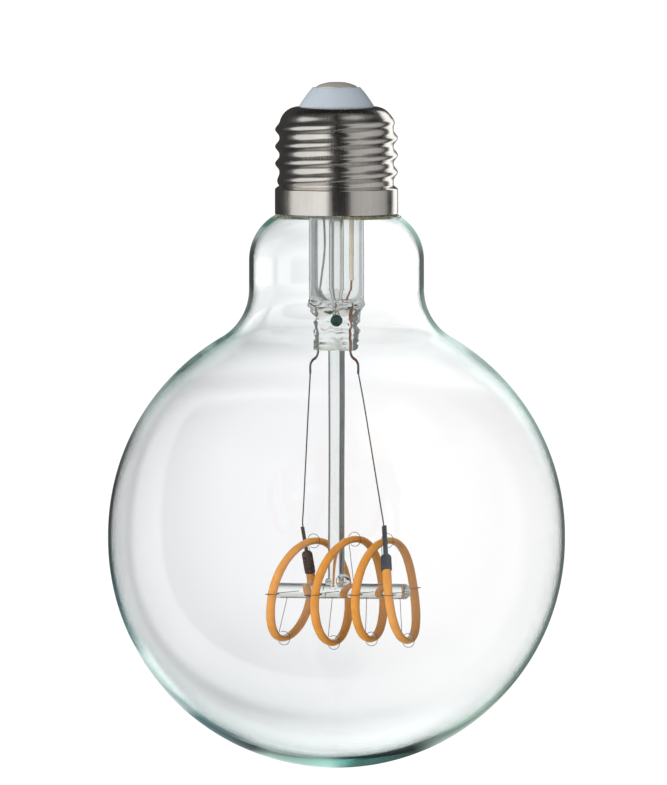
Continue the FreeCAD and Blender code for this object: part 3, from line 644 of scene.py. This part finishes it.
def stem():
    """The flared tube with its pressed end, the exhaust tube in it, the rod, the bar and their beads."""
    flare = neck_end_radius - neck_wall - tube_radius
    flare_centre = (tube_radius + flare, neck_end_depth + flare)
    top, press_start, press_end = neck_end_depth - 1, 43.0, 50.2
    outer = [(0, top), (neck_end_radius, top), (neck_end_radius, neck_end_depth)]
    outer += [(tube_radius + flare, neck_end_depth)]
    outer += arc(flare_centre, outer[-1], (tube_radius, neck_end_depth + flare), 14)
    outer += [(tube_radius, press_start + 1), (0, press_start + 1)]
    press, pinch_power = [], 4.2
    for step in range(19):
        share = step / 18
        ease = smoothstep(0.0, 1.0, share)
        half_x = tube_radius + (pinch_width / 2 - tube_radius) * smoothstep(0.45, 1.0, share)
        half_y = tube_radius + (pinch_thickness / 2 - tube_radius) * ease
        press.append(oblong(half_x, half_y, 2 + 2.2 * ease, press_start + (press_end - press_start) * share))
    for step in range(15):
        depth = press_end + 0.4 + 0.4 * step
        half_x = pinch_width / 2 + 0.05 * math.sin(depth * 3.1)
        half_y = pinch_thickness / 2 + 0.12 * math.sin(depth * 2.3)
        press.append(oblong(half_x, half_y, pinch_power, depth))
    for inset, rise in ((0.15, 0.35), (0.4, 0.1), (0.8, 0.0)):
        half_x, half_y = pinch_width / 2 - inset, pinch_thickness / 2 - inset
        press.append(oblong(half_x, half_y, pinch_power, pinch_depth - rise))
    for ring in press:
        for point in ring:
            lumps = wobble(Vector((point.x * 0.6, point.y * 0.6 + 3, point.z * 0.7)))
            uneven = 0.22 * smoothstep(45.0, 48.0, -point.z) * lumps
            point.x, point.y = point.x * (1 + uneven), point.y * (1 + uneven)
    round_end = (tube_bore - exhaust_radius) / 2
    round_start = tube_depth - round_end
    middle = exhaust_radius + round_end
    clear_depth = 15.0
    cavity = [(exhaust_radius, clear_depth), (exhaust_radius, round_start)]
    cavity += arc((middle, round_start), (exhaust_radius, round_start), (middle, tube_depth), 8)
    cavity += arc((middle, round_start), (middle, tube_depth), (tube_bore, round_start), 8)
    cavity += [(tube_bore, neck_end_depth + flare)]
    cavity += arc(flare_centre, cavity[-1], (tube_radius + flare, top), 14)
    cavity += [(tube_radius + flare, clear_depth)]
    tip_depth, tip_end = 13.6, 15.2
    tip = [(0, tip_depth)] + arc((0, tip_end), (0, tip_depth), (exhaust_radius, tip_end), 8)
    tip += [(exhaust_radius, 24.0), (0, 24.0)]
    bore = [(0, tip_end), (exhaust_bore, tip_end), (exhaust_bore, 50.4), (1.15, 50.7), (1.1, 51.4), (0, 51.7)]
    hole_line = smooth_line([at(0, blow_depth), at(0, blow_depth, -1.2), at(0, 51.0, -4)], 6)
    hole = sweep(hole_line, 24, lambda share, angle: (0.95 * math.cos(angle), 1.2 * math.sin(angle)))
    rod_line = [at(0.04 * math.sin(d / 9), d, 0.03 * math.cos(d / 7)) for d in range(55, int(bar_depth) + 1)]

    def rod_size(share):
        return rod_radius * (1 + 0.10 * math.exp(-share * 40) + 0.02 * math.sin(share * 9))

    rod = tube(rod_line, rod_size, 48)
    half = bar_length / 2
    places = [bar_offset - half + bar_length * step / 60 for step in range(61)]

    def bar_size(share):
        near = min(share, 1 - share) * bar_length
        rounding = 1 - 0.25 * max(0.0, 1 - near / 0.6) ** 2
        return bar_radius * rounding * (1 + 0.012 * math.sin(share * 23))

    bar = tube([coil_middle + coil_axis * along for along in places], bar_size, 48)

    def bead(centre, radius):
        turns = [math.pi * k / 20 for k in range(21)]
        rows = [(radius * math.sin(turn), -centre.z - radius * math.cos(turn)) for turn in turns]
        rows[0], rows[-1] = (0, rows[0][1]), (0, rows[-1][1])
        points, faces = lathe(rows, 32)
        return [(x + centre.x, y + centre.y, z) for x, y, z in points], faces

    knob_at = coil_middle + Vector((1.3, -1.2, 2.2))
    knob, small = bead(knob_at, 1.6), bead(coil_middle + Vector((-1.6, -0.9, 2.0)), 0.85)
    bubbles = [
        bead(knob_at + Vector((0.1, -0.5, 0.1)), 0.62), bead(knob_at + Vector((-0.75, -0.55, -0.5)), 0.3)]
    return combined(lathe(outer, 96), [
        ("UNION", loft(press)), ("DIFFERENCE", lathe(cavity[::-1], 96, True)), ("UNION", lathe(tip, 64)),
        ("DIFFERENCE", lathe(bore, 48)), ("DIFFERENCE", hole), ("UNION", rod), ("UNION", bar),
        ("UNION", knob), ("UNION", small)] + [("DIFFERENCE", bubble) for bubble in bubbles])


dress("stem", stem(), stem_glass, ["glass_stem"], 40)

# The melted end of the exhaust bore, dark green in the thick of the pinch
seal = [(math.sin(math.pi * k / 16), -math.cos(math.pi * k / 16)) for k in range(17)]
seal_points, seal_faces = lathe([(0, -1)] + seal[1:-1] + [(0, 1)], 32)
half_x, half_y, half_z, front = 1.3, 0.4, 1.5, 1.8
seal_points = [(half_x * x, half_y * y - front, half_z * z - blow_depth) for x, y, z in seal_points]
piece("seal", seal_points, seal_faces, seal_green, "stem_glass", ["glass_stem"])


# Filament
def on_coil(along, turn_deg, out):
    turn = math.radians(turn_deg)
    return coil_middle + coil_turn @ Vector((along, out * math.cos(turn), out * math.sin(turn)))


def station(quarter):
    stray_along, stray_out = coil_stray[quarter + 1]
    return coil_start + coil_pitch * quarter / 4 + stray_along, -90.0 * quarter, coil_radius + stray_out


def filament_point(quarter):
    last = len(coil_stray) - 4
    first = min(max(math.floor(quarter), 0), last)
    near = [station(min(max(first + step, -1), last + 2)) for step in (-1, 0, 1, 2)]
    along = eased([place[0] for place in near], quarter - first)
    out = eased([place[2] for place in near], quarter - first)
    return on_coil(along, -90.0 * quarter, out)


quarters = len(coil_stray) - 3
first_turn, last_turn = -first_end_deg / 90, quarters + last_end_deg / 90
strand_steps, strand_sides = 420, 28
strand = [
    filament_point(first_turn + (last_turn - first_turn) * step / strand_steps)
    for step in range(strand_steps + 1)]


def strand_section(share, angle):
    swell = 1 + 0.012 * math.sin(share * 300) + 0.015 * math.sin(share * 127)
    return filament_width / 2 * swell * math.cos(angle), filament_thickness / 2 * swell * math.sin(angle)


strand_form = sweep(strand, strand_sides, strand_section, lambda point, ahead: coil_axis)
filament = piece("filament", *strand_form, filament_amber, "filament_amber", ["filament_coil"], 50)

# How far each point lies to the inner side of the strand, the mask for the filament's painted shade
inner = filament.data.attributes.new("inner", "FLOAT", "POINT")
turn_back = coil_turn.inverted()
for place, vertex in enumerate(filament.data.vertices):
    middle = strand[min(place // strand_sides, len(strand) - 1)]
    out, hub = turn_back @ (vertex.co / MM - coil_middle), turn_back @ (middle - coil_middle)
    depth = math.hypot(hub.y, hub.z) - math.hypot(out.y, out.z)
    inner.data[place].value = min(max(0.5 + depth / filament_thickness, 0.0), 1.0)


# Terminals
def outer_side(base, away):
    """The way out of the coil at one of its ends, square to the strand."""
    outward = coil_axis.cross(away).normalized()
    return -outward if outward.dot(base - coil_middle) < 0 else outward


def terminal(name, base, away, block, tab, tab_width, material, slot, cad):
    """The crimped block on an end of the filament, and the tab that goes on from it."""
    tab_half, tab_sunk = 0.15, 0.5
    outward = outer_side(base, away)
    across = away.cross(outward).normalized()

    def ring(half_x, half_y, along, power=5.0, sides=40):
        flat = rounded_box(half_x, half_y, power, sides)
        return [base + across * x + outward * y + away * along for x, y in flat]

    crimp = [ring(0.98, 0.68, 0.0), ring(1.05, 0.73, 0.12), ring(1.07, 0.75, 0.3)]
    for step in range(1, 9):
        along = 0.3 + (block - 1.0) * step / 8
        dent = 0.05 * math.sin(step * 2.6)
        crimp.append(ring(1.07 - dent, 0.745 + dent * 0.6, along))
    crimp += [ring(0.98, 0.7, block - 0.45), ring(0.68, 0.45, block - 0.12), ring(0.42, 0.25, block)]
    places = [block - tab_sunk + (tab + tab_sunk) * step / 12 for step in range(13)]
    strip = [ring(tab_width / 2, tab_half, along, 8.0) for along in places]
    piece(name, *joined([loft(crimp), loft(strip)]), material, slot, [cad], 45)


first_away = (strand[0] - strand[1]).normalized()
last_away = (strand[-1] - strand[-2]).normalized()
terminal("terminal_a", strand[0], first_away, *left_terminal, 0.8,
         terminal_dark, "terminal_dark", "terminal_left")
terminal("terminal_b", strand[-1], last_away, *right_terminal, 1.05,
         terminal_grey, "terminal_grey", "terminal_right")


# Support wires
def anchor(quarter):
    """A wire from inside the bar to the filament, with a loop round it."""
    along, turn_deg, out = station(quarter)
    gather, sunk, loop = 0.9, 0.8, 1.5
    root = Vector((along * gather, bar_radius - sunk, 0))
    centre = Vector((along, out, 0))
    reach = centre - root
    heading = math.atan2(reach.y, reach.x) + math.asin(loop / reach.length)
    leg = math.sqrt(reach.length ** 2 - loop ** 2)
    touch = root + Vector((math.cos(heading), math.sin(heading), 0)) * leg
    first = math.atan2(touch.y - centre.y, touch.x - centre.x)
    flat = [root + (touch - root) * step / 8 for step in range(8)]
    for step in range(41):
        angle = first - math.radians(anchor_loop_deg) * step / 40
        flat.append(centre + Vector((math.cos(angle), math.sin(angle), 0)) * loop)
    return tube([on_coil(p.x, turn_deg, p.y) for p in flat], anchor_radius, 8)


for quarter in range(1, len(coil_stray) - 2):
    label = "%s_%d" % (["bottom", "front", "top", "back"][(quarter - 1) % 4], (quarter - 1) // 4 + 1)
    piece("support_" + label, *anchor(quarter), anchor_wire, "anchor_wire", ["anchor_" + label], 60)


# Leads and feeds
left_pinch_x, right_pinch_x, lead_spread = pinch_width / 2 - 0.75, pinch_width / 2 - 1.7, 1.65
left_tail_x, right_tail_x = left_pinch_x + lead_spread, right_pinch_x + lead_spread
lead_start, lead_end = 18.1, 61.2
left_line = smooth_line([
    at(-3.2, lead_start), at(-3.15, 20.0), at(-2.5, 34.0), at(-3.2, 41.5), at(-left_pinch_x, tube_depth),
    at(-left_pinch_x, 52.0), at(-left_pinch_x, 57.2), at(-left_tail_x + 0.4, 58.6), at(-left_tail_x, 59.4),
    at(-left_tail_x, lead_end)], 8)
right_line = smooth_line([
    at(3.2, lead_start), at(3.22, 20.0), at(3.2, 40.0), at(3.15, 43.0), at(right_pinch_x, tube_depth),
    at(right_pinch_x, 52.0), at(right_pinch_x, 57.2), at(right_tail_x - 0.4, 58.6), at(right_tail_x, 59.4),
    at(right_tail_x, lead_end)], 8)
piece("lead_a", *tube(left_line, lead_radius * 0.9), grey_lead, "lead_wire", ["lead_in_left"], 50)
piece("lead_b", *tube(right_line, lead_radius), lead_wire, "lead_wire", ["lead_in_right"], 50)
sleeve_line = smooth_line([at(3.22, 20.2), at(3.2, 30), at(3.2, 40), at(3.25, 42.2)], 8)
sleeve_form = tube(sleeve_line, lambda share: sleeve_radius + 0.02 * math.sin(share * 40), 20)
piece("sleeve", *sleeve_form, sleeve_beige, "sleeve_beige", ["lead_sleeve"], 50)


def feed(name, end, y_side, base, away, block, tab, cad):
    """A wire from beside the end of a lead, down over the top of a tab and onto its outer side."""
    on_tab = base + outer_side(base, away) * 0.3
    weld = Vector((0, y_side * 0.4, 0))
    stops = [end + weld + Vector((0, 0, 2.2)), end + weld + Vector((0, 0, 0.6))]
    low, high = on_tab + away * (block + tab - 2.6), on_tab + away * (block + tab + 0.6)
    stops += [stops[1] + (high - stops[1]) * share for share in (0.1, 0.35, 0.65, 0.9)]
    piece(name, *tube(smooth_line(stops + [high, low], 8), feed_radius), feed_wire, "feed_wire", [cad], 50)


feed("feed_a", at(-left_tail_x, lead_end), 1, strand[0], first_away, *left_terminal, "feed_wire_left")
feed("feed_b", at(right_tail_x, lead_end), -1, strand[-1], last_away, *right_terminal, "feed_wire_right")

# CAD nodes that stay, inside the cap
kept = {
    "driver_board": board_green, "bridge_rectifier": chip_black, "driver_chip": chip_black,
    "smoothing_capacitor": capacitor_sleeve, "fuse_resistor": resistor_body, "contact_wire": hook_up_red,
    "shell_wire": hook_up_red,
}
for name, material in kept.items():
    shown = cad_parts[name]
    for place in range(len(shown.material_slots)):
        shown.material_slots[place].material = material


# Floor, light and camera
def floor():
    floor_depth = 300.0
    mesh = mesh_of("floor", *lathe([(reach, floor_depth) for reach in (0, 300, 600, 1000)], 96))
    material, tree, shader = surface("floor_pale", Roughness=0.7, Emission_Strength=0.35)
    shader.inputs["Emission Color"].default_value = (1, 1, 1, 1)
    tint(tree, shader, noise(tree, 0.01), [(0.3, (0.86, 0.86, 0.86)), (0.7, (0.9, 0.9, 0.9))])
    mesh.materials.append(material)
    made = bpy.data.objects.new("floor", mesh)
    bpy.context.scene.collection.objects.link(made)
    made.visible_glossy = False
    made.visible_transmission = False


def studio():
    """The room round the lamp: what shows through its glass, what its faces reflect and what lights them."""
    world = bpy.data.worlds.new("studio")
    bpy.context.scene.world = world
    world.use_nodes = True
    world.cycles.sampling_method = "NONE"
    tree = world.node_tree
    light = tree.nodes["Background"]
    where = tree.nodes.new("ShaderNodeTexCoord").outputs["Generated"]
    split = tree.nodes.new("ShaderNodeSeparateXYZ")
    tree.links.new(where, split.inputs[0])
    x, y, z = split.outputs
    turn = math_node(tree, "ARCTAN2", x, math_node(tree, "MULTIPLY", y, -1.0))
    around = spread(tree, turn, 0.0, 1.0, -math.pi, math.pi)
    height = spread(tree, z, 0.0, 1.0, -1.0, 1.0)

    def mixed(factor, first, second, blend="MIX"):
        made = node(tree, "ShaderNodeMix", data_type="RGBA", blend_type=blend)
        for key, value in (("Factor", factor), ("A", first), ("B", second)):
            socket = [s for s in made.inputs if s.name == key and s.enabled][0]
            if isinstance(value, bpy.types.NodeSocket):
                tree.links.new(value, socket)
            else:
                socket.default_value = value
        return [s for s in made.outputs if s.enabled][0]

    def shaded(factor, stops):
        made = ramp(tree, stops)
        tree.links.new(factor, made.inputs["Fac"])
        return made.outputs["Color"]

    def by_degrees(stops):
        return [((degrees + 180) / 360, shade) for degrees, shade in stops]

    def panels(stops):
        return shaded(around, by_degrees(stops))

    # Places near the line of sight behind the lamp: how far above it, how far off it, and to which side
    view_drop = 0.063
    rise = math_node(tree, "ADD", z, view_drop)
    below = math_node(tree, "MULTIPLY", math_node(tree, "MINIMUM", rise, 0.0), -0.5)
    flatter = math_node(tree, "ADD", rise, below)
    squares = math_node(
        tree, "ADD", math_node(tree, "MULTIPLY", x, x), math_node(tree, "MULTIPLY", flatter, flatter))
    off = math_node(tree, "SQRT", squares, 0.0)
    polar = spread(tree, math_node(tree, "ARCTAN2", rise, x), 0.0, 1.0, -math.pi, math.pi)
    rightward = spread(tree, math_node(tree, "DIVIDE", x, off), 0.0, 1.0, -0.5, 0.5)
    behind = spread(tree, y, 0.0, 1.0, 0.76, 0.82)

    # What polished faces reflect
    reflected = panels([
        (-180, 0.05), (-122, 0.05), (-97, 0.18), (-50, 0.32), (-16, 0.50), (-11, 0.02), (24, 0.02),
        (27, 0.54), (70, 0.60), (105, 0.44), (116, 0.03), (180, 0.05)])
    tall = shaded(height, [(0.0, 0.5), (0.15, 0.5), (0.22, 1.0), (0.78, 1.0), (0.86, 0.42), (1.0, 0.24)])
    reflected = mixed(1.0, reflected, tall, "MULTIPLY")
    patch = panels([(-180, 0.0), (12, 0.0), (20, 0.4), (75, 0.4), (85, 0.0), (180, 0.0)])
    patch_height = shaded(height, [(0.0, 0.0), (0.82, 0.0), (0.86, 1.0), (0.94, 1.0), (0.97, 0.0)])
    reflected = mixed(1.0, reflected, mixed(1.0, patch, patch_height, "MULTIPLY"), "ADD")

    # What the bright and dark stretches of the glass edge are led from, by the side of the edge they lie on
    edge = shaded(polar, by_degrees((
        (-180, (0.06, 0.065, 0.065)), (-166, (0.05, 0.08, 0.085)), (-150, (0.08, 0.17, 0.18)),
        (-147, (0.88, 1.05, 1.0)), (-130, (0.84, 1.05, 1.02)), (-127, (0.25, 0.42, 0.44)),
        (-117, (0.25, 0.36, 0.38)), (-111, (0.22, 0.25, 0.27)), (-107, (0.74, 0.9, 0.85)),
        (-92, (0.76, 0.9, 0.85)), (-88, (0.06, 0.085, 0.08)), (-70, (0.08, 0.10, 0.10)),
        (-64, (0.64, 0.84, 0.74)), (-50, (0.62, 0.78, 0.68)), (-42, (0.22, 0.3, 0.26)),
        (-15, (0.11, 0.14, 0.13)), (10, (0.13, 0.14, 0.14)), (28, (0.30, 0.40, 0.37)),
        (45, (0.40, 0.55, 0.50)), (60, (0.75, 0.85, 0.82)), (110, (0.78, 0.85, 0.84)),
        (122, (0.10, 0.18, 0.16)), (134, (0.09, 0.18, 0.155)), (140, (0.28, 0.36, 0.35)),
        (150, (0.3, 0.34, 0.34)), (158, 0.12), (170, 0.06), (180, 0.06))))
    clear = mixed(behind, reflected, edge)

    # What shows through thick and many-walled glass: unreflected, and led round inside the glass
    bent = panels([
        (-180, 1.0), (-169, 1.0), (-164, 0.10), (-118, 0.10), (-97, 1.0), (-16, 1.0), (24, 0.9), (88, 0.6),
        (96, 0.10), (136, 0.12), (143, 0.95), (180, 1.0)])
    tilted = shaded(spread(tree, rise, 0.0, 1.0, -0.6, 0.6), [
        (0.0, 0.15), (0.1, 0.25), (0.18, 0.62), (0.3, 0.85), (0.41, 1.0), (0.59, 1.0),
        (0.65, (0.80, 0.77, 0.74)), (1.0, (0.66, 0.62, 0.58))])
    bent = mixed(1.0, bent, tilted, "MULTIPLY")
    led = panels([
        (-180, 0.35), (-175, 0.75), (-156, 0.75), (-150, 0.30), (-120, 0.45), (-60, 0.7), (60, 0.7),
        (120, 0.6), (150, 0.45), (156, 0.85), (175, 0.85), (180, 0.35)])

    # What shows through the thin wall: a pale backdrop, greyer and banded on the left, and plain elsewhere
    elsewhere, widest = 1.12, 0.16

    def wall(stops, colour):
        return shaded(spread(tree, off, 0.0, 1.0, 0.0, widest), [
            (place / widest, tuple(shade * c for c in colour)) for place, shade in stops])

    left = wall((
        (0.0, 1.08), (0.0075, 1.06), (0.016, 1.03), (0.021, 0.985), (0.026, 0.95), (0.0305, 0.95),
        (0.032, 1.06), (0.036, 1.10), (0.042, 1.12), (0.046, 1.14), (0.0495, 1.04), (0.0535, 0.93),
        (0.057, 0.97), (0.063, 1.16), (0.075, 1.38), (0.1, 1.75), (0.15, 2.1)), (1.02, 0.998, 1.02))
    upper_left = wall((
        (0.0, 1.11), (0.025, 1.11), (0.03, 1.09), (0.036, 1.06), (0.045, 1.03), (0.06, 1.02), (0.075, 1.14),
        (0.1, 1.3), (0.15, 1.6)), (1.02, 0.998, 1.02))
    right = wall((
        (0.0, 1.11), (0.0116, 1.13), (0.02, 1.13), (0.027, 1.14), (0.037, 1.24), (0.045, 1.36), (0.055, 1.56),
        (0.063, 1.74), (0.075, 1.98), (0.1, 2.4), (0.15, 2.8)), (1.035, 1.0, 1.008))
    left = mixed(spread(tree, rise, 0.0, 1.0, 0.010, 0.020), left, upper_left)
    pale = mixed(rightward, left, right)
    lowest, highest = -0.10, 0.14
    fall = shaded(spread(tree, rise, 0.0, 1.0, lowest, highest), [
        ((place - lowest) / (highest - lowest), shade) for place, shade in (
            (-0.10, 0.82), (-0.076, 0.89), (-0.057, 0.93), (-0.035, 0.945), (-0.02, 0.96), (-0.006, 0.975),
            (0.004, 0.985), (0.02, 0.99), (0.04, 0.93), (0.055, 0.86), (0.075, 0.74), (0.14, 0.6))])
    pale = mixed(1.0, pale, fall, "MULTIPLY")
    pale = mixed(behind, (elsewhere, elsewhere, elsewhere, 1), pale)

    # What lights matt faces
    soft = panels([(-180, 0.45), (-120, 1.1), (-70, 1.75), (-20, 1.35), (40, 0.65), (110, 0.4), (180, 0.45)])

    path = tree.nodes.new("ShaderNodeLightPath").outputs
    unreflected = math_node(tree, "LESS_THAN", path["Glossy Depth"], 0.5)
    few = math_node(tree, "LESS_THAN", path["Transmission Depth"], 4.5)
    through = mixed(few, bent, pale)
    # A sharp reflection comes from glass, a blurred one from metal
    reflected = mixed(path["Is Singular Ray"], reflected, clear)
    seen = mixed(unreflected, mixed(few, led, reflected), through)
    seen = mixed(math_node(tree, "GREATER_THAN", path["Diffuse Depth"], 0.5), seen, soft)
    seen = mixed(path["Is Camera Ray"], seen, (1.06, 1.06, 1.06, 1))
    tree.links.new(seen, light.inputs["Color"])


def soft_box(name, side_deg, reach, wide, high, radiance, lit):
    """A soft box, measured in metres, that lights only some pieces."""
    data = bpy.data.lights.new(name, "AREA")
    data.shape = "RECTANGLE"
    data.size, data.size_y = wide, high
    data.energy = radiance * math.pi * wide * high
    made = bpy.data.objects.new(name, data)
    side = math.radians(side_deg)
    toward = Vector((math.sin(side), -math.cos(side), 0))
    made.location = toward * reach + Vector((0, 0, -0.02))
    made.rotation_mode = "QUATERNION"
    made.rotation_quaternion = toward.to_track_quat("Z", "Y")
    made.visible_camera = made.visible_transmission = False
    bpy.context.scene.collection.objects.link(made)
    pieces = bpy.data.collections.new("lit_by_" + name)
    for each in lit:
        pieces.objects.link(each)
    made.light_linking.receiver_collection = pieces


def camera():
    distance, elevation, sensor = 2200.0, math.radians(3.6), 36.0
    image_height, pixels_per_mm = 785, 4.70
    target = at(-0.64, 66.06)
    data = bpy.data.cameras.new("camera")
    data.sensor_width = sensor
    data.lens = sensor * distance / (image_height / pixels_per_mm)
    data.clip_end = 20.0
    made = bpy.data.objects.new("camera", data)
    back = Vector((0, -math.cos(elevation), math.sin(elevation)))
    made.location = (target + back * distance) * MM
    made.rotation_mode = "QUATERNION"
    made.rotation_quaternion = (-back).to_track_quat("-Z", "Y")
    bpy.context.scene.collection.objects.link(made)
    bpy.context.scene.camera = made


floor()
studio()
soft_box("left_box", side_deg=-56.0, reach=0.70, wide=1.20, high=1.7, radiance=0.74, lit=[cap, button_piece])
soft_box("rim_box", side_deg=144.0, reach=0.60, wide=0.28, high=0.8, radiance=1.5, lit=[cap])
camera()
view = bpy.context.scene
view.view_settings.view_transform = "Standard"
view.view_settings.look = "None"
view.cycles.max_bounces = 40
view.cycles.transmission_bounces = 40
view.cycles.glossy_bounces = 24
view.cycles.diffuse_bounces = 4
view.cycles.transparent_max_bounces = 16
view.cycles.caustics_reflective = True
view.cycles.caustics_refractive = True
view.cycles.blur_glossy = 0.0
